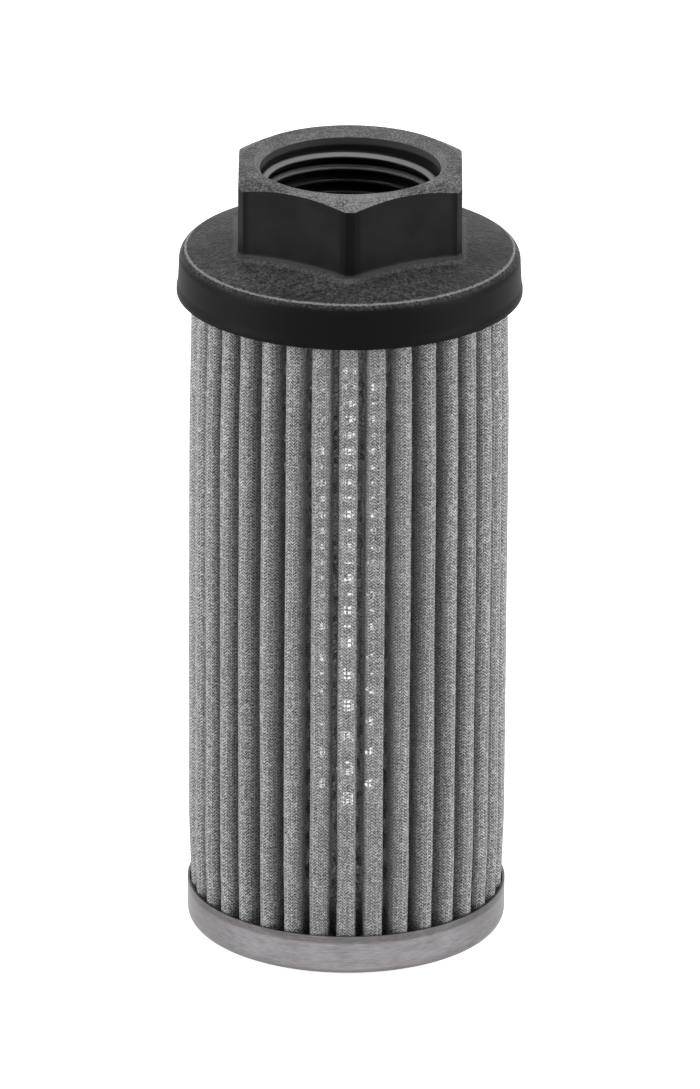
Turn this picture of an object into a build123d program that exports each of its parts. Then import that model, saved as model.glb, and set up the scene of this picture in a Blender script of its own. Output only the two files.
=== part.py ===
from build123d import *
from math import acos, atan2, cos, degrees, hypot, pi, radians, sin, tan
import os

# Hydraulic suction strainer. It stands on its closed end, with +Z up along the port's axis and the
# origin at the middle of the cap's underside. Sizes are in millimetres.

# Overall
overall_height = 150.0
head_height = 25.0  # from the skirt's lower edge to the port's mouth

# Filter element
mesh_diameter = 58.6  # over the crests of the pleats
mesh_thickness = 0.4
pleat_count = 35
crest_gap = 1.3  # clear width between two neighbouring crests
valley_fold = 0.8  # bend radius of the sheet's middle, at the core

# Perforated core
core_diameter = 42.0
core_wall = 0.6
hole_diameter = 4.76
hole_pitch = 6.35  # staggered at 60 degrees, with the rows along the tube
core_margin = 7.0  # plain band at each end of the tube

# Seam clip
clip_sheet = 0.4
clip_share = 0.48  # of the pleats' depth
clip_fold = 0.7

# Bottom cap
cap_height = 8.0
cap_sheet = 0.4
cap_edge_radius = 2.2
boss_rise = 2.4  # raised middle that the core fits round
boss_edge_radius = 1.2

# Head: flange and skirt
skirt_wall = 2.4
skirt_lip = 0.15  # the lower edge stands this far proud
lip_height = 0.7
lip_taper = 1.2
flange_draft = 2.7  # degrees, on the skirt's outside
flange_thickness = 3.6
flange_rise = 15.0  # degrees, the slope of the flange's top
flange_edge_radius = 2.4
channel_depth = 4.4  # from the skirt's lower edge up to the channel's roof

# Head: hexagon, port and spigot
hex_across_flats = 41.0
hex_corner_trim = 0.5  # turned off each corner
hex_chamfer_inset = 0.5  # from the middle of each flat to the chamfer's top edge
hex_chamfer_angle = 27.0  # degrees
hex_root_radius = 1.8
thread_major_diameter = 33.25  # G1 parallel pipe thread
thread_length = 18.5
mouth_chamfer = 1.0
mouth_chamfer_height = 1.2
spigot_length = 3.0  # below the skirt's lower edge, inside the core
spigot_wall = 2.5

# Fits
core_clearance = 0.1  # core to spigot and core to boss
pleat_clearance = 0.05  # pleats to core, skirt, cap and clip
head_end_gap = 0.8  # resin between the element's end and the head
resin_recess = 1.2  # from the skirt's lower edge up to the head's resin
cap_resin_height = 4.2

# Heights that follow
skirt_z = overall_height - head_height
roof_z = skirt_z + channel_depth
rim_z = roof_z + flange_thickness
element_top_z = roof_z - head_end_gap
pleat_bottom_z = cap_edge_radius  # clear of the cap's rounded corner
thread_top_z = overall_height - mouth_chamfer_height
thread_end_z = thread_top_z - thread_length

# Radii that follow
mesh_radius = mesh_diameter / 2
core_radius = core_diameter / 2
core_bore_radius = core_radius - core_wall
channel_radius = mesh_radius + pleat_clearance
skirt_radius = channel_radius + skirt_wall
cap_radius = channel_radius + cap_sheet
clip_depth = clip_share * (mesh_radius - core_radius)
boss_radius = core_bore_radius - core_clearance - boss_edge_radius
spigot_radius = core_bore_radius - core_clearance
spigot_bore_radius = spigot_radius - spigot_wall
thread_radius = thread_major_diameter / 2

# Folds of the pleats that follow. A crest lies on the Y axis, and its two valleys half a pitch away.
pitch = 360 / pleat_count
half_pitch = radians(pitch / 2)
half_sheet = mesh_thickness / 2
crest_outer = (mesh_radius * sin(half_pitch) - crest_gap / 2) / (1 + sin(half_pitch))
crest_fold = crest_outer - half_sheet
valley_ring = core_radius + pleat_clearance + half_sheet + valley_fold
valley = Vector(valley_ring * sin(half_pitch), valley_ring * cos(half_pitch))
seam_turn = pleat_count // 2 * pitch - 180  # the seam takes the place of the crest nearest the back


def save(piece, name):
    """Label a finished piece and write it as its own file."""
    piece.part.label = name
    export_step(piece.part, f"parts/{name}.step")


def wall_normal(fold_centre, fold_radius):
    """Angle of the normal of the wall from a fold to the valley on its right.

    The radius is negative where both folds lie on the same side of the wall.
    """
    run = valley - fold_centre
    return degrees(acos((fold_radius + valley_fold) / run.length) + atan2(run.Y, run.X))


def wall_and_half_valley(wall_start, normal):
    """The straight wall down to the valley, and the fold there as far as its middle."""
    turn = 90 - pitch / 2 - normal
    fold = CenterArc(valley, valley_fold, 180 + normal, turn)
    Line(wall_start, fold @ 0)


def element_ring(inner_radius, outer_radius, bottom, top):
    """Ring about the port's axis, added to the open part."""
    with BuildSketch(Plane.XY.offset(bottom)) as ring:
        Circle(outer_radius)
        Circle(inner_radius, mode=Mode.SUBTRACT)
    extrude(ring.sketch, amount=top - bottom)


os.makedirs("parts", exist_ok=True)

# One pleat: over the crest, and down both walls to the middles of the valleys.
with BuildSketch() as pleat:
    with BuildLine() as pleat_line:
        crest_centre = Vector(0, mesh_radius - crest_outer)
        crest_end = wall_normal(crest_centre, crest_fold)
        crest = CenterArc(crest_centre, crest_fold, 90, crest_end - 90)
        wall_and_half_valley(crest @ 1, crest_end)
        mirror(about=Plane.YZ)
    trace(line_width=mesh_thickness)

# The sheet's two ends, which turn outwards and stand side by side inside the clip.
with BuildSketch() as sheet_ends:
    with BuildLine() as ends_line:
        end_x = half_sheet + pleat_clearance / 2
        clip_mouth_y = mesh_radius - clip_depth
        bend_centre = Vector(end_x + valley_fold, clip_mouth_y)
        bend_end = wall_normal(bend_centre, -valley_fold)
        bend = CenterArc(bend_centre, valley_fold, 180, bend_end)
        Line((end_x, mesh_radius - clip_sheet - pleat_clearance), bend @ 0)
        wall_and_half_valley(bend @ 1, bend_end)
        mirror(about=Plane.YZ)
    trace(line_width=mesh_thickness)

with BuildPart() as pleated_mesh:
    with BuildSketch(Plane.XY.offset(pleat_bottom_z)):
        with PolarLocations(
            0, pleat_count - 1, seam_turn + pitch, pitch * (pleat_count - 2), endpoint=True
        ):
            add(pleat.sketch)
        with Locations(Rotation(0, 0, seam_turn)):
            add(sheet_ends.sketch)
    extrude(amount=element_top_z - pleat_bottom_z)
save(pleated_mesh, "pleated_mesh")

# Folded strip that grips the sheet's ends.
with BuildSketch() as clip_section:
    slot_width = 2 * (end_x + half_sheet + pleat_clearance)
    with Locations((0, mesh_radius)):
        Rectangle(slot_width + 2 * clip_sheet, clip_depth, align=(Align.CENTER, Align.MAX))
    fillet(clip_section.vertices().group_by(Axis.Y)[-1], clip_fold)
    with Locations((0, mesh_radius - clip_sheet)):
        Rectangle(slot_width, clip_depth, align=(Align.CENTER, Align.MAX), mode=Mode.SUBTRACT)

with BuildPart() as mesh_seam_clip:
    with BuildSketch(Plane.XY.offset(pleat_bottom_z)):
        with Locations(Rotation(0, 0, seam_turn)):
            add(clip_section.sketch)
    extrude(amount=element_top_z - pleat_bottom_z)
save(mesh_seam_clip, "mesh_seam_clip")

# Perforated tube. Each column of holes is cut through both walls at once, so the columns come in
# fours and the stagger closes round the tube.
with BuildPart() as perforated_core:
    element_ring(core_bore_radius, core_radius, cap_sheet, element_top_z)
    core_length = element_top_z - cap_sheet
    hole_plane = Plane((0, 0, cap_sheet + core_length / 2), x_dir=(1, 0, 0), z_dir=(0, -1, 0))
    column_width = hole_pitch * cos(radians(30))
    column_count = 4 * round(pi * core_diameter / (4 * column_width))
    hole_count = int((core_length - 2 * core_margin) / hole_pitch)
    for column in range(column_count // 2):
        with BuildSketch(hole_plane.rotated((0, 0, 360 / column_count * column))):
            with GridLocations(1, hole_pitch, 1, hole_count - column % 2):
                Circle(hole_diameter / 2)
        extrude(amount=core_diameter, both=True, mode=Mode.SUBTRACT)
save(perforated_core, "perforated_core")

# Pressed cup, drawn as the middle line of its sheet from the axis to the rim.
with BuildPart() as bottom_cap:
    with BuildSketch(Plane.XZ):
        with BuildLine():
            floor_z = cap_sheet / 2
            boss_x = boss_radius - cap_sheet / 2
            wall_x = cap_radius - cap_sheet / 2
            FilletPolyline(
                (0, floor_z + boss_rise),
                (boss_x, floor_z + boss_rise),
                (boss_x, floor_z),
                (wall_x, floor_z),
                (wall_x, cap_height),
                radius=[boss_edge_radius, boss_edge_radius, cap_edge_radius - cap_sheet / 2],
            )
        trace(line_width=cap_sheet)
    revolve(axis=Axis.Z)
save(bottom_cap, "bottom_cap")

# Potting resin in the cap, round the ends of the pleats and outside the core.
with BuildPart() as cap_adhesive:
    element_ring(core_radius, channel_radius, cap_sheet, cap_sheet + cap_resin_height)
    bottom_edges = cap_adhesive.edges().group_by(Axis.Z)[0]
    fillet(bottom_edges.sort_by(SortBy.RADIUS)[-1], cap_edge_radius - cap_sheet)
    add(pleated_mesh.part, mode=Mode.SUBTRACT)
    add(mesh_seam_clip.part, mode=Mode.SUBTRACT)
save(cap_adhesive, "cap_adhesive")

# Potting resin in the head's channel, round the pleats and over the end of the core.
with BuildPart() as head_adhesive:
    element_ring(core_bore_radius, channel_radius, skirt_z + resin_recess, roof_z)
    add(pleated_mesh.part, mode=Mode.SUBTRACT)
    add(mesh_seam_clip.part, mode=Mode.SUBTRACT)
    add(perforated_core.part, mode=Mode.SUBTRACT)
save(head_adhesive, "head_adhesive")

# Hexagon with its corners turned off and chamfered.
with BuildPart() as hexagon:
    with BuildSketch(Plane.XY.offset(roof_z)):
        RegularPolygon(hex_across_flats / 2, 6, major_radius=False, rotation=30)
    extrude(amount=overall_height - roof_z)
    with BuildSketch(Plane.XZ):
        with BuildLine():
            corner_x = hex_across_flats / (2 * cos(radians(30))) - hex_corner_trim
            chamfer_x = hex_across_flats / 2 - hex_chamfer_inset
            corner_drop = (corner_x - chamfer_x) * tan(radians(hex_chamfer_angle))
            Polyline(
                (0, roof_z),
                (corner_x, roof_z),
                (corner_x, overall_height - corner_drop),
                (chamfer_x, overall_height),
                (0, overall_height),
                close=True,
            )
        make_face()
    revolve(axis=Axis.Z, mode=Mode.INTERSECT)

# Moulded head in one piece: flange, skirt and spigot turned about the axis, the hexagon, and the port.
with BuildPart() as threaded_head:
    with BuildSketch(Plane.XZ):
        with BuildLine():
            taper = tan(radians(flange_draft))
            rim_x = skirt_radius - (rim_z - skirt_z) * taper
            lip_top_z = skirt_z + lip_height + lip_taper
            spigot_z = skirt_z - spigot_length
            Polyline(
                (0, spigot_z),
                (spigot_radius, spigot_z),
                (spigot_radius, roof_z),
                (channel_radius, roof_z),
                (channel_radius, skirt_z),
                (skirt_radius + skirt_lip, skirt_z),
                (skirt_radius + skirt_lip, skirt_z + lip_height),
                (skirt_radius - (lip_top_z - skirt_z) * taper, lip_top_z),
                (rim_x, rim_z),
                (0, rim_z + rim_x * tan(radians(flange_rise))),
                close=True,
            )
        make_face()
    revolve(axis=Axis.Z)
    rim = threaded_head.edges().filter_by(GeomType.CIRCLE).sort_by(Axis.Z)[-1]
    fillet(rim, flange_edge_radius)
    add(hexagon.part)
    root = threaded_head.edges(Select.NEW).filter_by(GeomType.LINE, reverse=True)
    fillet(root, hex_root_radius)
    with BuildSketch(Plane.XZ):
        with BuildLine():
            Polyline(
                (0, spigot_z),
                (spigot_bore_radius, spigot_z),
                (spigot_bore_radius, thread_end_z - abs(spigot_bore_radius - thread_radius)),
                (thread_radius, thread_end_z),
                (thread_radius, thread_top_z),
                (thread_radius + mouth_chamfer, overall_height),
                (0, overall_height),
                close=True,
            )
        make_face()
    revolve(axis=Axis.Z, mode=Mode.SUBTRACT)
save(threaded_head, "threaded_head")
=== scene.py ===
from math import acos, atan2, cos, hypot, pi, radians, sin

import bmesh
import bpy
from bpy.props import FloatProperty, FloatVectorProperty, IntProperty, PointerProperty
from mathutils import Matrix, Vector, noise


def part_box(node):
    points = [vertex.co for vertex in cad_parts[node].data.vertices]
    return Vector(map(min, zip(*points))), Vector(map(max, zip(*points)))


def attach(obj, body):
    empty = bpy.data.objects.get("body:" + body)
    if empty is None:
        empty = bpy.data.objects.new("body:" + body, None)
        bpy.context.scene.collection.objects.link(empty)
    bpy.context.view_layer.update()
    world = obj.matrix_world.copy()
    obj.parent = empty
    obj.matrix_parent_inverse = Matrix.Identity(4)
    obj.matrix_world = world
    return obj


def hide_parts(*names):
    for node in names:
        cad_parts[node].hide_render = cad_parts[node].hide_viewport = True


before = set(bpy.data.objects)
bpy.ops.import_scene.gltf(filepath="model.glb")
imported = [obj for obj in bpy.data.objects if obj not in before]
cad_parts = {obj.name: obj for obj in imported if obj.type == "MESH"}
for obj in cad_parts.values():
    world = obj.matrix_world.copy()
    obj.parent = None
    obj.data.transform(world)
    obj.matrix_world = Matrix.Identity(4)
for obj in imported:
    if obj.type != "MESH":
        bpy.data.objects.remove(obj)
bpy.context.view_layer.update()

bl_info = {
    "name": "Suction Strainer",
    "version": (1, 0, 0),
    "blender": (4, 5, 0),
    "location": "3D View > Sidebar > Strainer",
    "description": "Finishes a tank suction strainer: moulded head, pleated wire cloth, core and cap",
    "category": "Add Mesh",
}

MM = 0.001
HEAD = "threaded_head"
CLOTH = "pleated_mesh"
CORE = "perforated_core"
CAP = "bottom_cap"
CLIP = "mesh_seam_clip"
RESINS = ("head_adhesive", "cap_adhesive")

# Where each finish of the head begins and where it is whole: heights, radii and the front corner's
# place along Y in metres, and slopes as the upward part of the surface's normal.
OUTSIDE = (17.6 * MM, 17.9 * MM)
TOP_SLOPE = (0.3, 0.75)
# RING_HEIGHT marks the top ring, whose real grain is also lightened all over as a painted sheen of the top
# face.
RING_HEIGHT = (147.8 * MM, 148.3 * MM)
FLANGE_HEIGHT = (131.8 * MM, 132.8 * MM)
HEXAGON_HEIGHT = (134.0 * MM, 135.0 * MM)
# TURNED_CORNER ends the painted reflection on the hexagon's flats, so the turned corners stay dark.
TURNED_CORNER = (22.5 * MM, 22.9 * MM)
# FRONT_CORNER lightens the ring towards the front: a painted highlight.
FRONT_CORNER = (-15.0 * MM, -21.0 * MM)
# MOUTH_CONE marks the mouth's cone, which gets a painted sheen.
MOUTH_CONE = (147.2 * MM, 147.8 * MM)
# THREAD_HEIGHT, THREAD_RADIUS and THREAD_SLOPE mark the painted highlight on the upward faces of the
# thread's top crests.
THREAD_HEIGHT = (141.0 * MM, 144.6 * MM)
THREAD_RADIUS = (16.3 * MM, 15.9 * MM)
THREAD_SLOPE = (0.3, 0.8)

# Two narrow bands of the head where highlights are painted, at the flange's rounded rim and at the
# hexagon's root: lowest, highest, and how soft their edges are.
RIM_SLOPE = (0.82, 0.9, 0.03)
RIM_HEIGHT = (131.5 * MM, 133.6 * MM, 0.1 * MM)
# ROOT_SLOPE and ROOT_HEIGHT mark the painted highlight on the hexagon's root fillet.
ROOT_SLOPE = (0.2, 0.88, 0.1)
ROOT_HEIGHT = (133.8 * MM, 139.0 * MM, 0.3 * MM)

# How far each part of the head goes towards the grain's colour, for real grain and for painted light: all
# over, and on its specks.
WEAR_AND_PAINTED_LIGHT = {
    # ring: real scuffed grain, plus a painted sheen of the top face
    "ring": (0.2, 1.35),
    # front corner: painted highlight on the ring's front
    "front corner": (0.45, 3.6),
    "flange": (0.03, 0.38),
    # flats: painted reflection on the hexagon's faces
    "flats": (0.07, 0.0),
    # rim: painted highlight along the flange's rounded edge
    "rim": (0.6, 4.4),
    # root: painted highlight on the hexagon's root fillet
    "root": (0.15, 0.0),
    # thread: painted highlight on the thread's top crests
    "thread": (1.15, 0.0),
    # cone: painted sheen on the mouth's cone
    "cone": (0.35, 0.0),
    "bore": (0.05, 0.0),
}
WRINKLE_WEAR = 0.2

# Radii between which the cloth turns from valley to crest, and the painted shade between its fine wires.
CREST_RADIUS = (23.4 * MM, 26.2 * MM)
PAINTED_GAP_SHADE = (0.025, 0.025, 0.027)

# How clear an opening of the coarse mesh is. Each draws a number from 0 to 1: below the first of these
# two it is closed, and from the second on it is open.
VALLEY_CLEAR, CREST_CLEAR = 0.9, 0.5
CLOSED_CHANCE = (0.1, 0.2)

# Sizes of the blobs of noise in the plastic, the cloth, the steel and the resin.
FINE_GRAIN, LEATHER, BLOTCHES = 0.42 * MM, 0.95 * MM, 6.0 * MM
WIRE_UNREST, PATCHES, GRIT = 2.2 * MM, 5.0 * MM, 0.36 * MM
BRUSH_LINES, BRUSH_STREAKS, HAZE, PITS = 0.22 * MM, 1.1 * MM, 7.0 * MM, 0.5 * MM
RESIN_WAVES = 2.5 * MM

# How deep the same finishes' reliefs are.
LEATHER_DEPTH, GRAIN_DEPTH = 0.35 * MM, 0.08 * MM
WIRE_DEPTH, BRUSH_DEPTH, WAVE_DEPTH = 0.12 * MM, 0.02 * MM, 0.15 * MM

# Painted shade along the cap's top edge: the height where it begins, over how much it darkens, and by how
# much.
PAINTED_SHADE_FROM, PAINTED_SHADE_OVER, PAINTED_SHADE_AMOUNT = 6.2 * MM, 0.7 * MM, 0.45

# The gap between the sheet's two ends, and how far they stop below the clip's fold.
SEAM_GAP, CLIP_FOLD = 0.2 * MM, 0.6 * MM

# How finely the folds at the crests, the valleys and the seam, the walls and the sheet's height are cut.
CREST_STEPS, VALLEY_STEPS, SEAM_STEPS, WALL_STEPS = 6, 3, 5, 3
SHEET_ROWS = 44

# Heights over which the crests come free of the cap's resin and of the head's.
CAP_RESIN, CAP_FREE = 8 * MM, 22 * MM
HEAD_FREE, HEAD_RESIN = 98 * MM, 124 * MM

# The crests' strays: over how much they change round the strainer and up it, how far from the core they
# begin, how much more or less a crest stands out, and where in the noise that is read.
STRAY_ACROSS, STRAY_ALONG, STRAY_FROM = 2.4 * MM, 42 * MM, 1.5 * MM
SWELL, SWELL_PLACE = 0.12 * MM, (31.7, 12.9, 5.3)

# Points of the folded line that lie closer than this are one.
WELD = 0.005 * MM

# How deep the thread's ridge sits in the bore's wall, and how much its crest is rounded.
THREAD_SEAT, THREAD_ROUND = 0.06 * MM, 0.12 * MM

# How far below its top the thread's ridge begins and is whole, and the length over which it ends.
THREAD_START = (0.7 * MM, 1.2 * MM)
THREAD_RUNOUT = 1.0 * MM

# The world's strength as light and where it is seen, and the floor's shade and its own glow.
WORLD_SOFT, WORLD_WHITE = 0.16, 1.0
FLOOR_SHADE, FLOOR_GLOW = 0.6, 0.8

# The lamps: place in metres, width and height in metres, and power in watts.
LAMPS = {
    "left_softbox": ((-0.92, -0.3, 0.35), (0.4, 0.7), 9.5),
    "right_softbox": ((0.92, -0.3, 0.35), (0.4, 0.7), 9.0),
    "top_strip": ((0.0, -0.05, 1.05), (1.0, 0.12), 12.0),
    "back_softbox": ((0.0, 0.9, 0.8), (0.8, 0.5), 2.5),
}


def length(name, description, default_mm):
    """A length property, given in millimetres and kept in metres."""
    return FloatProperty(
        name=name, description=description, default=default_mm * MM,
        precision=5, subtype="DISTANCE", unit="LENGTH"
    )


def colour(name, description, default):
    """A linear colour property."""
    return FloatVectorProperty(
        name=name, description=description, default=default, size=3, min=0.0, max=1.0, subtype="COLOR"
    )


class ClothSizes(bpy.types.PropertyGroup):
    """Sizes and colours of the pleated wire cloth."""

    pleats: IntProperty(
        name="Pleats", description="Folds round the core, the seam's included", default=35
    )
    crest_gap: length("Crest gap", "Clear width between two crests", 1.15)
    valley_fold: length("Valley fold", "Bend radius of the sheet's middle at the core", 0.8)
    thickness: length("Thickness", "Thickness of the cloth", 0.16)
    clearance: length("Clearance", "Room between the valleys and the core", 0.13)
    belly: length("Belly", "How far the crests stand out at mid height", 0.4)
    lean: length("Lean", "How far a crest strays sideways", 0.3)
    twill_rise: length("Twill rise", "Height from one slanting wire to the next", 0.6)
    twill_width: length("Twill width", "Width of a column of wires that slant one way", 0.75)
    wire_width: length("Wire width", "Distance between the wires that run up the sheet", 0.42)
    mesh_pitch: length("Mesh pitch", "Pitch of the coarse mesh that backs the fine wires", 0.94)
    mesh_opening: length("Mesh opening", "Width of an opening of the coarse mesh", 0.72)
    wire_colour: colour("Wire", "Colour of the stainless wire", (0.5, 0.5, 0.505))


class HeadSizes(bpy.types.PropertyGroup):
    """Sizes and colours of the moulded head and its port thread."""

    major_radius: length("Major radius", "Radius at the roots of the port's thread", 16.625)
    thread_pitch: length("Thread pitch", "Rise of the thread in one turn", 2.309)
    thread_depth: length("Thread depth", "Height of the thread's ridge", 1.4)
    thread_top: length("Thread top", "Height where the ridge begins, below the mouth's cone", 147.6)
    thread_end: length("Thread end", "Height where the ridge ends", 131.4)
    plastic_colour: colour("Plastic", "Colour of the black plastic", (0.0038, 0.0038, 0.0041))
    # This colour is the real grain's, and also that of the head's painted highlights and sheen.
    grain_and_highlight_colour: colour("Grain", "Colour of the scuffed grain on top faces", (0.13, 0.13, 0.132))


class MetalColours(bpy.types.PropertyGroup):
    """Colours of the cap, the core, the clip and the resin."""

    cap_colour: colour("Cap", "Colour of the pressed steel cap", (0.182, 0.170, 0.177))
    core_colour: colour("Core", "Colour of the perforated tube", (0.25, 0.25, 0.25))
    clip_colour: colour("Clip", "Colour of the seam clip", (0.17, 0.17, 0.17))
    resin_colour: colour("Resin", "Colour of the cured resin", (0.012, 0.011, 0.010))


class StageSizes(bpy.types.PropertyGroup):
    """Camera, lights and floor."""

    distance: length("Camera distance", "From the camera to the point it looks at", 2251.0)
    pitch: FloatProperty(
        name="Camera pitch", description="How far the camera looks down", default=radians(21.55),
        subtype="ANGLE", unit="ROTATION"
    )
    roll: FloatProperty(
        name="Camera roll", description="Turn of the camera about its own axis", default=radians(0.35),
        subtype="ANGLE", unit="ROTATION"
    )
    aim_x: length("Aim across", "How far to the right of the axis the camera looks", 0.35)
    aim_height: length("Aim height", "Height that the camera looks at", 74.5)
    focal_length: FloatProperty(
        name="Focal length", description="Lens on a 36 mm sensor, in millimetres", default=400.8
    )
    floor_size: length("Floor size", "Side of the square floor", 6000.0)


class Value:
    """A shader socket that holds a number. Operators on it add Math nodes."""

    def __init__(self, shader, socket):
        self.shader = shader
        self.socket = socket

    def maths(self, operation, *others):
        """A Math node on this number and others."""
        node = self.shader.node("ShaderNodeMath", {"operation": operation}, {
            index: operand for index, operand in enumerate((self, *others))
        })
        return node.out(0)

    def __add__(self, other):
        return self.maths("ADD", other)

    def __sub__(self, other):
        return self.maths("SUBTRACT", other)

    def __rsub__(self, other):
        return (self * -1.0) + other

    def __mul__(self, other):
        return self.maths("MULTIPLY", other)

    def __truediv__(self, other):
        return self.maths("DIVIDE", other)

    def __pow__(self, other):
        return self.maths("POWER", other)

    def __mod__(self, other):
        return self.maths("FLOORED_MODULO", other)

    def __abs__(self):
        return self.maths("ABSOLUTE")

    __radd__ = __add__
    __rmul__ = __mul__


class Made:
    """A node that has been made, with its outputs as values."""

    def __init__(self, shader, node):
        self.shader = shader
        self.node = node

    def out(self, key):
        return Value(self.shader, self.node.outputs[key])


class Shader:
    """A procedural material under construction."""

    def __init__(self, name):
        self.material = bpy.data.materials.new(name)
        self.material.use_nodes = True
        self.tree = self.material.node_tree
        self.tree.nodes.clear()
        self.output = self.node("ShaderNodeOutputMaterial")

    def node(self, kind, settings=None, sockets=None):
        """Add any node: its settings first, then the values or links of its sockets."""
        node = self.tree.nodes.new(kind)
        for key, setting in (settings or {}).items():
            setattr(node, key, setting)
        for key, wanted in (sockets or {}).items():
            if isinstance(wanted, Value):
                self.tree.links.new(wanted.socket, node.inputs[key])
            else:
                node.inputs[key].default_value = wanted
        return Made(self, node)

    def place(self, output="Object"):
        """Object coordinates in metres, or another output of the node that gives them."""
        return self.node("ShaderNodeTexCoord").out(output)

    def parts(self, vector):
        """The three numbers of a vector."""
        split = self.node("ShaderNodeSeparateXYZ", None, {0: vector})
        return split.out("X"), split.out("Y"), split.out("Z")

    def vector(self, x, y, z):
        """A vector of three numbers."""
        return self.node("ShaderNodeCombineXYZ", None, {"X": x, "Y": y, "Z": z}).out(0)

    def grain(self, vector, size, detail=2.0, roughness=0.5):
        """Noise whose blobs are about the given size, in metres."""
        return self.node("ShaderNodeTexNoise", {"noise_dimensions": "3D"}, {
            "Vector": vector, "Scale": 1.0 / size, "Detail": detail, "Roughness": roughness
        }).out("Fac")

    def step(self, value, low, high):
        """0 as far as low and 1 from high on, with a smooth rise between. High may be the smaller."""
        return self.node(
            "ShaderNodeMapRange",
            {"interpolation_type": "SMOOTHSTEP", "clamp": True},
            {"Value": value, "From Min": low, "From Max": high},
        ).out("Result")

    def band(self, value, low, high, soft):
        """1 between low and high, with soft edges."""
        risen = self.step(value, low - soft, low + soft)
        return risen * (1.0 - self.step(value, high - soft, high + soft))

    def around(self, place):
        """Distance from the axis."""
        x, y, _ = self.parts(place)
        return (x * x + y * y) ** 0.5

    def mix(self, factor, first, second):
        """Colour between two colours."""
        def full(shade):
            return shade if isinstance(shade, Value) else (*shade, 1.0)

        return self.node("ShaderNodeMix", {"data_type": "RGBA"}, {
            0: factor, 6: full(first), 7: full(second)
        }).out(2)

    def bump(self, height, distance, strength=1.0, normal=None):
        """Normal from a height between 0 and 1 that stands for a distance in metres."""
        sockets = {"Height": height, "Distance": distance, "Strength": strength}
        if normal is not None:
            sockets["Normal"] = normal
        return self.node("ShaderNodeBump", None, sockets).out("Normal")

    def principled(self, **sockets):
        """Close the material with a Principled surface. Underscores stand for spaces."""
        named = {}
        for key, wanted in sockets.items():
            if key == "Base_Color" and not isinstance(wanted, Value):
                wanted = (*wanted, 1.0)
            named[key.replace("_", " ")] = wanted
        surface = self.node("ShaderNodeBsdfPrincipled", None, named)
        self.tree.links.new(surface.out(0).socket, self.output.node.inputs["Surface"])
        return self.material


def plastic_material(sizes):
    """Black moulded plastic: smooth sides, leathery grain where it faces up, and painted highlights and
    sheen on the ring, rim, hexagon and bore.
    """
    shader = Shader("moulded_plastic")
    place = shader.place()
    up = shader.parts(shader.place("Normal"))[2]
    _, y, height = shader.parts(place)
    radius = shader.around(place)

    outside = shader.step(radius, *OUTSIDE)
    inside = 1.0 - outside
    facing_up = shader.step(up, *TOP_SLOPE)
    # The ring: real grain, plus a painted sheen of the top face.
    ring = shader.step(height, *RING_HEIGHT) * facing_up
    facing_up = facing_up * outside
    flange = facing_up * shader.step(height, *FLANGE_HEIGHT) * (1.0 - ring)
    # The rim: a painted highlight along the flange's rounded edge.
    rim = shader.band(up, *RIM_SLOPE) * shader.band(height, *RIM_HEIGHT) * outside
    # The root: a painted highlight on the hexagon's root fillet.
    root = shader.band(up, *ROOT_SLOPE) * shader.band(height, *ROOT_HEIGHT) * outside
    hexagon = shader.step(height, *HEXAGON_HEIGHT) * (1.0 - facing_up) * outside
    # The flats: a painted reflection, which stops short of the turned corners.
    flats = hexagon * (1.0 - shader.step(radius, *TURNED_CORNER))
    # The ring's front: a painted highlight.
    front_corner = ring * shader.step(y, *FRONT_CORNER)
    skirt = outside * (1.0 - facing_up) * (1.0 - hexagon)
    # The thread: a painted highlight on its upward-facing top crests.
    thread = shader.step(radius, *THREAD_RADIUS) * shader.step(up, *THREAD_SLOPE)
    thread = thread * shader.step(height, *THREAD_HEIGHT)
    # The mouth's cone: a painted sheen.
    cone = inside * shader.step(height, *MOUTH_CONE)

    fine = shader.grain(place, FINE_GRAIN, detail=3.0, roughness=0.7)
    leather = shader.grain(place, LEATHER, detail=3.0, roughness=0.6)
    specks = shader.step(fine, 0.42, 0.72)
    wrinkles = shader.step(leather, 0.36, 0.7)
    blotches = shader.grain(place, BLOTCHES, detail=3.0)

    def wear_and_painted_light_of(mask, part):
        """Wear and painted light of one part of the head."""
        all_over, on_specks = WEAR_AND_PAINTED_LIGHT[part]
        return mask * (specks * on_specks + all_over) if on_specks else mask * all_over

    uneven = shader.step(blotches, 0.25, 0.75) * 0.6 + 0.4
    # This sums the flange's real grain and wrinkles, the ring's grain with its painted sheen, and painted
    # light on the front corner, flats, rim, root, thread and cone; the bore is only a little lighter all
    # over.
    wear_and_painted_light = wear_and_painted_light_of(ring, "ring") + wear_and_painted_light_of(front_corner, "front corner") + wear_and_painted_light_of(flats, "flats")
    wear_and_painted_light = wear_and_painted_light + wear_and_painted_light_of(flange, "flange") + flange * wrinkles * WRINKLE_WEAR
    wear_and_painted_light = wear_and_painted_light * uneven + wear_and_painted_light_of(rim, "rim") + wear_and_painted_light_of(root, "root") + wear_and_painted_light_of(thread, "thread")
    wear_and_painted_light = wear_and_painted_light + wear_and_painted_light_of(cone, "cone") + wear_and_painted_light_of(inside, "bore")

    # Tint towards the grain's colour by wear and by painted light.
    tint = shader.mix(wear_and_painted_light, sizes.plastic_colour, sizes.grain_and_highlight_colour)
    matt = flange * (1.0 - rim) + ring + hexagon * 0.8 + skirt * 1.3
    roughness = 0.2 + fine * 0.06 + matt * 0.22
    normal = shader.bump(leather * facing_up, LEATHER_DEPTH, 0.8)
    normal = shader.bump(fine * (facing_up * 0.85 + 0.15), GRAIN_DEPTH, 0.8, normal)
    return shader.principled(
        Base_Color=tint, Roughness=roughness, Normal=normal, Specular_IOR_Level=0.05
    )


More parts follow.
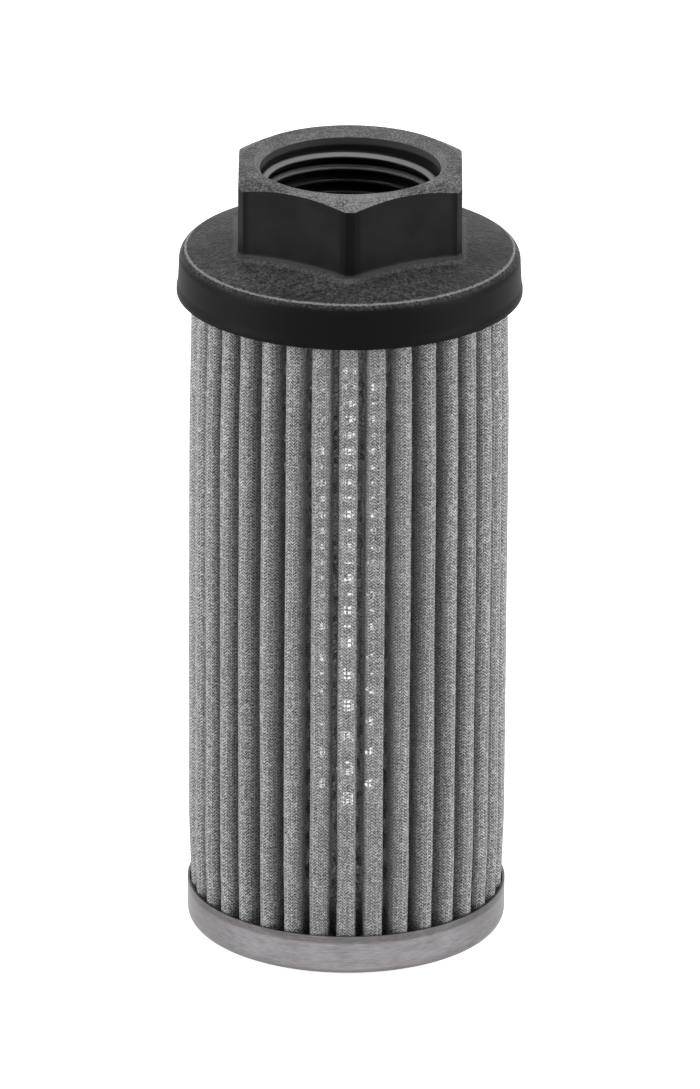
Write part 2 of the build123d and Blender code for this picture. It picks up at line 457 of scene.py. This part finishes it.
def cloth_material(sizes):
    """Fine twilled wire over a coarse mesh, which is seen through where light stands behind it, with
    painted shade between the wires and painted light in the valleys and at the openings on the crests.
    """
    shader = Shader("woven_wire")
    across, up, _ = shader.parts(shader.place("UV"))
    place = shader.place()
    at_crest = shader.step(shader.around(place), *CREST_RADIUS)

    column = abs((across / (2.0 * sizes.twill_width)) % 1.0 * 2.0 - 1.0)
    unrest = shader.grain(place, WIRE_UNREST, detail=2.0) * 0.9
    slant = up / sizes.twill_rise + column * (sizes.twill_width / sizes.twill_rise) + unrest
    slanting = (slant * (2.0 * pi)).maths("SINE") * 0.5 + 0.5
    upright = ((across / sizes.wire_width) * (2.0 * pi)).maths("SINE") * 0.5 + 0.5
    height = slanting * 0.78 + upright * 0.22

    patches = shader.grain(place, PATCHES, detail=2.0)
    drift = (patches - 0.5) * (0.9 * MM)

    def cells(distance):
        """Count of the opening along one way of the mesh, and the distance from its middle."""
        counted = (distance + drift) / sizes.mesh_pitch
        return counted.maths("FLOOR"), abs(counted % 1.0 - 0.5) * sizes.mesh_pitch

    across_cell, across_off = cells(across)
    up_cell, up_off = cells(up)
    chance = shader.node("ShaderNodeTexWhiteNoise", {"noise_dimensions": "2D"}, {
        "Vector": shader.vector(across_cell, up_cell, 0.0)
    }).out("Value")
    half = sizes.mesh_opening / 2
    soft = 0.05 * MM
    opening = 1.0 - shader.step(across_off.maths("MAXIMUM", up_off), half - soft, half + soft)
    opening = opening * shader.step(chance, *CLOSED_CHANCE)
    clear = opening * (VALLEY_CLEAR - at_crest * (VALLEY_CLEAR - CREST_CLEAR))

    grit = shader.grain(place, GRIT, detail=2.0, roughness=0.75)
    # The wires' relief darkens the gaps between them: painted shade. Grit and patches are the wire's own
    # uneven tone.
    shade = height * 0.8 + (grit - 0.5) * 1.9 + (patches - 0.5) * 0.2 + 0.04
    # Lighter at the coarse mesh's openings on the crests: painted light seen through the mesh.
    # Lighter in the valleys: painted light for the light that comes through from behind.
    shade = shade * (1.0 + (1.0 - at_crest) * 0.2 + opening * at_crest * 0.45)
    tint = shader.mix(shade, PAINTED_GAP_SHADE, sizes.wire_colour)
    normal = shader.bump(height, WIRE_DEPTH, 0.5)
    return shader.principled(
        Base_Color=tint, Metallic=0.15, Roughness=0.55, Normal=normal, Specular_IOR_Level=0.3,
        Alpha=1.0 - clear
    )


def steel_material(name, tint, rough=0.36, painted_shade_from=None):
    """Satin steel sheet, brushed round the part, with painted shade from a given height upwards."""
    shader = Shader(name)
    tint = Vector(tint)
    place = shader.place()
    x, y, z = shader.parts(place)
    radius = shader.around(place)
    brush = 3.0 * MM
    stretched = shader.vector(x / radius * brush, y / radius * brush, z + radius)
    lines = shader.grain(stretched, BRUSH_LINES, detail=3.0, roughness=0.7)
    streaks = shader.grain(stretched, BRUSH_STREAKS, detail=2.0)
    haze = shader.grain(place, HAZE, detail=3.0)
    pits = shader.step(shader.grain(place, PITS, detail=2.0), 0.6, 0.8)
    shade = (lines - 0.5) * 1.2 + (streaks - 0.5) * 0.3 + (haze - 0.5) * 0.45 + 0.52 - pits * 0.15
    if painted_shade_from is not None:
        # Painted shade: darker from this height upwards.
        shade = shade - shader.step(z, painted_shade_from, painted_shade_from + PAINTED_SHADE_OVER) * PAINTED_SHADE_AMOUNT
    base = shader.mix(shade, tint * 0.5, tint * 1.5)
    normal = shader.bump(lines, BRUSH_DEPTH, 0.5)
    roughness = rough + (lines - 0.5) * 0.15 + (haze - 0.5) * 0.12
    return shader.principled(
        Base_Color=base, Metallic=1.0, Roughness=roughness, Normal=normal,
        Specular_Tint=(0.8, 0.8, 0.8, 1.0)
    )


def resin_material(sizes):
    """Dark cured resin with a slightly wavy skin."""
    shader = Shader("cured_resin")
    place = shader.place()
    waves = shader.grain(place, RESIN_WAVES, detail=2.0)
    tint = shader.mix(waves, sizes.resin_colour, Vector(sizes.resin_colour) * 3.0)
    normal = shader.bump(waves, WAVE_DEPTH, 0.6)
    return shader.principled(Base_Color=tint, Roughness=waves * 0.2 + 0.3, Normal=normal)


def finish_node(name, material):
    """Give a CAD node its finish."""
    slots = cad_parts[name].data.materials
    slots.clear()
    slots.append(material)


def add_piece(bm, name, material, stands_for=()):
    """Turn a bmesh into a piece that rides on the strainer's one body."""
    mesh = bpy.data.meshes.new(name)
    bm.to_mesh(mesh)
    bm.free()
    mesh.shade_smooth()
    mesh.materials.append(material)
    piece = bpy.data.objects.new(name, mesh)
    bpy.context.scene.collection.objects.link(piece)
    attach(piece, "root")
    if stands_for:
        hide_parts(*stands_for)


def new_chain(bm, point):
    """Start a line of points that the next calls carry on."""
    return [bm.verts.new(point)]


def add_arc(bm, chain, centre, angle, steps):
    """Carry the chain's end round a centre, in the horizontal plane."""
    for _ in range(steps):
        end = bmesh.ops.extrude_vert_indiv(bm, verts=[chain[-1]])["verts"][0]
        bmesh.ops.rotate(bm, verts=[end], cent=centre, matrix=Matrix.Rotation(angle / steps, 3, "Z"))
        chain.append(end)


def add_line(bm, chain, target, steps):
    """Carry the chain's end straight to a point."""
    stride = (target - chain[-1].co) / steps
    for _ in range(steps):
        end = bmesh.ops.extrude_vert_indiv(bm, verts=[chain[-1]])["verts"][0]
        bmesh.ops.translate(bm, verts=[end], vec=stride)
        chain.append(end)


def polar(centre, radius, angle):
    """Point at an angle round a centre, in the horizontal plane."""
    return centre + Vector((cos(angle), sin(angle), 0.0)) * radius


class PleatFolds:
    """Folds of one pleat whose crest lies on the Y axis, worked out as the CAD does."""

    def __init__(self, sizes, bottom, crest_radius, core_radius):
        self.sizes = sizes
        self.crest_radius = crest_radius
        self.half_pitch = pi / sizes.pleats
        half_sheet = sizes.thickness / 2
        spread = sin(self.half_pitch)
        crest_outer = (crest_radius * spread - sizes.crest_gap / 2) / (1 + spread)
        self.crest_fold = crest_outer - half_sheet
        self.crest = Vector((0.0, crest_radius - crest_outer, bottom))
        ring = core_radius + sizes.clearance + half_sheet + sizes.valley_fold
        self.valley = Vector((ring * spread, ring * cos(self.half_pitch), bottom))

    def wall_normal(self, centre, fold):
        """Angle of the normal of the wall from a fold to the valley on its right."""
        run = self.valley - centre
        reach = acos((fold + self.sizes.valley_fold) / hypot(run.x, run.y))
        return reach + atan2(run.y, run.x)

    def add_valley(self, bm, chain, normal):
        """Wall down to the valley, and the fold there as far as its middle."""
        add_line(bm, chain, polar(self.valley, -self.sizes.valley_fold, normal), WALL_STEPS)
        add_arc(bm, chain, self.valley, pi / 2 - self.half_pitch - normal, VALLEY_STEPS)


def mirror_chain(bm, chain):
    """Mirror a half chain in the YZ plane and join the halves."""
    geometry = chain + list({edge for vert in chain for edge in vert.link_edges})
    bmesh.ops.mirror(bm, geom=geometry, matrix=Matrix.Identity(4), merge_dist=1e-6, axis="X")


def add_pleats(bm, folds, seam_turn):
    """All the pleats but the one whose place the seam takes."""
    normal = folds.wall_normal(folds.crest, folds.crest_fold)
    chain = new_chain(bm, polar(folds.crest, folds.crest_fold, pi / 2))
    add_arc(bm, chain, folds.crest, normal - pi / 2, CREST_STEPS)
    folds.add_valley(bm, chain, normal)
    mirror_chain(bm, chain)
    pitch = 2 * folds.half_pitch
    everything = bm.verts[:] + bm.edges[:]
    bmesh.ops.rotate(bm, verts=bm.verts[:], matrix=Matrix.Rotation(seam_turn + pitch, 3, "Z"))
    bmesh.ops.spin(
        bm, geom=everything, cent=(0, 0, 0), axis=(0, 0, 1), use_duplicate=True,
        angle=pitch * (folds.sizes.pleats - 2), steps=folds.sizes.pleats - 2
    )


def add_seam(bm, folds, seam_turn, clip_depth):
    """The sheet's two ends, turned outwards side by side inside the clip."""
    start = len(bm.verts)
    aside = folds.sizes.thickness / 2 + SEAM_GAP / 2
    bend_radius = folds.sizes.valley_fold
    mouth = folds.crest_radius - clip_depth
    bend = Vector((aside + bend_radius, mouth, folds.crest.z))
    normal = folds.wall_normal(bend, -bend_radius)
    chain = new_chain(bm, (aside, folds.crest_radius - CLIP_FOLD, folds.crest.z))
    add_line(bm, chain, polar(bend, bend_radius, pi), WALL_STEPS)
    add_arc(bm, chain, bend, normal, SEAM_STEPS)
    folds.add_valley(bm, chain, normal)
    mirror_chain(bm, chain)
    bm.verts.ensure_lookup_table()
    bmesh.ops.rotate(bm, verts=bm.verts[start:], matrix=Matrix.Rotation(seam_turn, 3, "Z"))


def measure_sheet(bm, layer):
    """Write each point's distance along the sheet, from one free end to the other."""
    vert = next(v for v in bm.verts if len(v.link_edges) == 1)
    edge = None
    travelled = 0.0
    while True:
        vert[layer] = travelled
        onward = [e for e in vert.link_edges if e is not edge]
        if not onward:
            return
        edge = onward[0]
        travelled += edge.calc_length()
        vert = edge.other_vert(vert)


def raise_sheet(bm, height, rows):
    """Extrude the folded line upwards into a sheet."""
    edges = bm.edges[:]
    for _ in range(rows):
        made = bmesh.ops.extrude_edge_only(bm, edges=edges)["geom"]
        verts = [item for item in made if isinstance(item, bmesh.types.BMVert)]
        edges = [item for item in made if isinstance(item, bmesh.types.BMEdge)]
        bmesh.ops.translate(bm, verts=verts, vec=(0, 0, height / rows))


def lay_weave(bm, layer):
    """UV map in metres: along the folded sheet, and up."""
    weave = bm.loops.layers.uv.new("weave")
    for face in bm.faces:
        for loop in face.loops:
            loop[weave].uv = (loop.vert[layer], loop.vert.co.z)


def smooth_step(low, high, value):
    """0 at low and 1 at high, with a smooth rise between."""
    share = min(1.0, max(0.0, (value - low) / (high - low)))
    return share * share * (3 - 2 * share)


def relax_pleats(bm, sizes, core_radius, crest_radius):
    """Small strays of each crest from its place. The ends stay where the resin holds them."""
    for vert in bm.verts:
        x, y, z = vert.co
        radius = hypot(x, y)
        turn = atan2(y, x)
        free = smooth_step(CAP_RESIN, CAP_FREE, z) * smooth_step(HEAD_RESIN, HEAD_FREE, z)
        reach = smooth_step(core_radius + STRAY_FROM, crest_radius, radius) * free
        spot = Vector((x / STRAY_ACROSS, y / STRAY_ACROSS, z / STRAY_ALONG))
        stray = noise.noise(spot)
        swell = noise.noise(spot + Vector(SWELL_PLACE))
        radius += reach * (sizes.belly + swell * SWELL)
        turn += reach * stray * sizes.lean / crest_radius
        vert.co.x = radius * cos(turn)
        vert.co.y = radius * sin(turn)


class STRAINER_OT_cloth(bpy.types.Operator):
    """Fold the wire cloth into pleats round the core"""

    bl_idname = "strainer.cloth"
    bl_label = "Wire Cloth"

    def execute(self, context):
        sizes = context.scene.strainer_cloth
        low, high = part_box(CLOTH)
        core_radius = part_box(CORE)[1].x
        crest_radius = -low.y
        clip_low, clip_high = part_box(CLIP)
        clip_depth = clip_high.y - clip_low.y
        seam_turn = 2 * pi / sizes.pleats * (sizes.pleats // 2) - pi
        folds = PleatFolds(sizes, low.z, crest_radius, core_radius)
        bm = bmesh.new()
        arc = bm.verts.layers.float.new("arc")
        add_pleats(bm, folds, seam_turn)
        add_seam(bm, folds, seam_turn, clip_depth)
        bmesh.ops.remove_doubles(bm, verts=bm.verts[:], dist=WELD)
        measure_sheet(bm, arc)
        raise_sheet(bm, high.z - low.z, SHEET_ROWS)
        lay_weave(bm, arc)
        bmesh.ops.recalc_face_normals(bm, faces=bm.faces[:])
        relax_pleats(bm, sizes, core_radius, crest_radius)
        add_piece(bm, "wire_cloth", cloth_material(sizes), (CLOTH,))
        return {"FINISHED"}


class STRAINER_OT_thread(bpy.types.Operator):
    """Run the right-handed pipe thread's ridge down the port"""

    bl_idname = "strainer.thread"
    bl_label = "Port Thread"

    def execute(self, context):
        sizes = context.scene.strainer_head
        steps_a_turn = 96
        turns = (sizes.thread_top - sizes.thread_end) / sizes.thread_pitch
        crest = sizes.major_radius - sizes.thread_depth
        root = sizes.major_radius + THREAD_SEAT
        half_root = sizes.thread_pitch * 0.46
        half_crest = sizes.thread_pitch * 0.08
        bm = bmesh.new()
        outline = (
            (root, half_root), (crest + THREAD_ROUND * 1.6, half_crest + THREAD_ROUND),
            (crest, half_crest * 0.5), (crest, -half_crest * 0.5),
            (crest + THREAD_ROUND * 1.6, -half_crest - THREAD_ROUND), (root, -half_root),
        )
        section = [bm.verts.new((0, radius, sizes.thread_top + rise)) for radius, rise in outline]
        edges = [bm.edges.new(pair) for pair in zip(section, section[1:] + section[:1])]
        steps = round(turns * steps_a_turn)
        bmesh.ops.contextual_create(bm, geom=edges)
        bmesh.ops.spin(
            bm, geom=bm.faces[:], cent=(0, 0, 0), axis=(0, 0, 1),
            dvec=(0, 0, -sizes.thread_pitch / steps_a_turn), angle=-2 * pi * turns, steps=steps
        )
        for vert in bm.verts:
            radius = hypot(vert.co.x, vert.co.y)
            begun = smooth_step(*THREAD_START, sizes.thread_top - vert.co.z)
            left = smooth_step(sizes.thread_end - THREAD_RUNOUT, sizes.thread_end, vert.co.z)
            new_radius = root + (radius - root) * begun * left
            vert.co.x *= new_radius / radius
            vert.co.y *= new_radius / radius
        bmesh.ops.recalc_face_normals(bm, faces=bm.faces[:])
        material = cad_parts[HEAD].data.materials[0]
        add_piece(bm, "port_thread_ridge", material)
        return {"FINISHED"}


class STRAINER_OT_head(bpy.types.Operator):
    """Finish the moulded head"""

    bl_idname = "strainer.head"
    bl_label = "Head"

    def execute(self, context):
        finish_node(HEAD, plastic_material(context.scene.strainer_head))
        return {"FINISHED"}


class STRAINER_OT_metal(bpy.types.Operator):
    """Finish the cap, the core, the seam clip and the resin"""

    bl_idname = "strainer.metal"
    bl_label = "Cap, Core and Resin"

    def execute(self, context):
        colours = context.scene.strainer_metal
        finish_node(CAP, steel_material("pressed_steel", colours.cap_colour, painted_shade_from=PAINTED_SHADE_FROM))
        finish_node(CORE, steel_material("punched_steel", colours.core_colour, rough=0.42))
        finish_node(CLIP, steel_material("strip_steel", colours.clip_colour, rough=0.32))
        resin = resin_material(colours)
        for name in RESINS:
            finish_node(name, resin)
        return {"FINISHED"}


def add_light(name, target, place, size, power):
    """A soft rectangular light that faces a point."""
    data = bpy.data.lights.new(name, "AREA")
    data.shape = "RECTANGLE"
    data.size, data.size_y = size
    data.energy = power
    light = bpy.data.objects.new(name, data)
    bpy.context.scene.collection.objects.link(light)
    light.location = place
    light.rotation_euler = (target - Vector(place)).to_track_quat("-Z", "Y").to_euler()


def backdrop_material():
    """White floor: plain white to the camera and in reflections, and it keeps a soft shadow."""
    shader = Shader("white_floor")
    shade = (FLOOR_SHADE, FLOOR_SHADE, FLOOR_SHADE, 1.0)
    diffuse = shader.node("ShaderNodeBsdfDiffuse", None, {"Color": shade})
    glow = shader.node("ShaderNodeEmission", None, {"Color": (1.0, 1.0, 1.0, 1.0), "Strength": FLOOR_GLOW})
    path = shader.node("ShaderNodeLightPath")
    seen = path.out("Is Camera Ray").maths("MAXIMUM", path.out("Is Glossy Ray"))
    seen = seen.maths("MAXIMUM", path.out("Is Transmission Ray"))
    black = shader.node("ShaderNodeEmission", None, {"Strength": 0.0})
    lit = shader.node("ShaderNodeMixShader", None, {0: seen, 1: black.out(0), 2: glow.out(0)})
    both = shader.node("ShaderNodeAddShader", None, {0: diffuse.out(0), 1: lit.out(0)})
    shader.tree.links.new(both.out(0).socket, shader.output.node.inputs["Surface"])
    return shader.material


def white_world():
    """Soft white light all round, and plain white where it is seen."""
    world = bpy.data.worlds.new("studio")
    bpy.context.scene.world = world
    world.use_nodes = True
    tree = world.node_tree
    tree.nodes.clear()
    path = tree.nodes.new("ShaderNodeLightPath")
    seen = path.outputs["Is Camera Ray"]
    for ray in ("Is Glossy Ray", "Is Transmission Ray"):
        either = tree.nodes.new("ShaderNodeMath")
        either.operation = "MAXIMUM"
        tree.links.new(seen, either.inputs[0])
        tree.links.new(path.outputs[ray], either.inputs[1])
        seen = either.outputs[0]
    soft = tree.nodes.new("ShaderNodeBackground")
    soft.inputs["Strength"].default_value = WORLD_SOFT
    white = tree.nodes.new("ShaderNodeBackground")
    white.inputs["Strength"].default_value = WORLD_WHITE
    for background in (soft, white):
        background.inputs["Color"].default_value = (1.0, 1.0, 1.0, 1.0)
    mix = tree.nodes.new("ShaderNodeMixShader")
    output = tree.nodes.new("ShaderNodeOutputWorld")
    tree.links.new(seen, mix.inputs[0])
    tree.links.new(soft.outputs[0], mix.inputs[1])
    tree.links.new(white.outputs[0], mix.inputs[2])
    tree.links.new(mix.outputs[0], output.inputs["Surface"])


class STRAINER_OT_stage(bpy.types.Operator):
    """Add the floor, the lights and the camera"""

    bl_idname = "strainer.stage"
    bl_label = "Stage"

    def execute(self, context):
        sizes = context.scene.strainer_stage
        scene = context.scene
        scene.view_settings.view_transform = "Standard"
        white_world()

        bm = bmesh.new()
        bmesh.ops.create_grid(bm, x_segments=1, y_segments=1, size=sizes.floor_size / 2)
        mesh = bpy.data.meshes.new("floor")
        bm.to_mesh(mesh)
        bm.free()
        mesh.materials.append(backdrop_material())
        floor = bpy.data.objects.new("floor", mesh)
        scene.collection.objects.link(floor)

        middle = Vector((0.0, 0.0, sizes.aim_height))
        for name, lamp in LAMPS.items():
            add_light(name, middle, *lamp)

        aim = Vector((sizes.aim_x, 0.0, sizes.aim_height))
        data = bpy.data.cameras.new("camera")
        data.lens = sizes.focal_length
        data.sensor_width = 36.0
        data.clip_end = 20.0
        camera = bpy.data.objects.new("camera", data)
        scene.collection.objects.link(camera)
        back = Vector((0.0, -cos(sizes.pitch), sin(sizes.pitch)))
        camera.location = aim + back * sizes.distance
        facing = (-back).to_track_quat("-Z", "Y").to_matrix()
        camera.rotation_euler = (facing @ Matrix.Rotation(sizes.roll, 3, "Z")).to_euler()
        scene.camera = camera
        return {"FINISHED"}


class STRAINER_PT_panel(bpy.types.Panel):
    """Lists the strainer's pieces and their sizes"""

    bl_idname = "STRAINER_PT_panel"
    bl_label = "Suction Strainer"
    bl_space_type = "VIEW_3D"
    bl_region_type = "UI"
    bl_category = "Strainer"

    def draw(self, context):
        scene = context.scene
        rows = (
            ("strainer.head", scene.strainer_head),
            ("strainer.thread", None),
            ("strainer.cloth", scene.strainer_cloth),
            ("strainer.metal", scene.strainer_metal),
            ("strainer.stage", scene.strainer_stage),
        )
        for operator, group in rows:
            self.layout.operator(operator)
            if group is None:
                continue
            column = self.layout.column(align=True)
            for key in group.__annotations__:
                column.prop(group, key)


GROUPS = {
    "strainer_cloth": ClothSizes,
    "strainer_head": HeadSizes,
    "strainer_metal": MetalColours,
    "strainer_stage": StageSizes,
}
CLASSES = (
    *GROUPS.values(), STRAINER_OT_head, STRAINER_OT_thread, STRAINER_OT_cloth, STRAINER_OT_metal,
    STRAINER_OT_stage, STRAINER_PT_panel,
)


def register():
    for each in CLASSES:
        bpy.utils.register_class(each)
    for key, group in GROUPS.items():
        setattr(bpy.types.Scene, key, PointerProperty(type=group))


def unregister():
    for key in GROUPS:
        delattr(bpy.types.Scene, key)
    for each in reversed(CLASSES):
        bpy.utils.unregister_class(each)


def main():
    register()
    bpy.ops.strainer.stage()
    bpy.ops.strainer.head()
    bpy.ops.strainer.thread()
    bpy.ops.strainer.cloth()
    bpy.ops.strainer.metal()


if __name__ == "__main__":
    main()
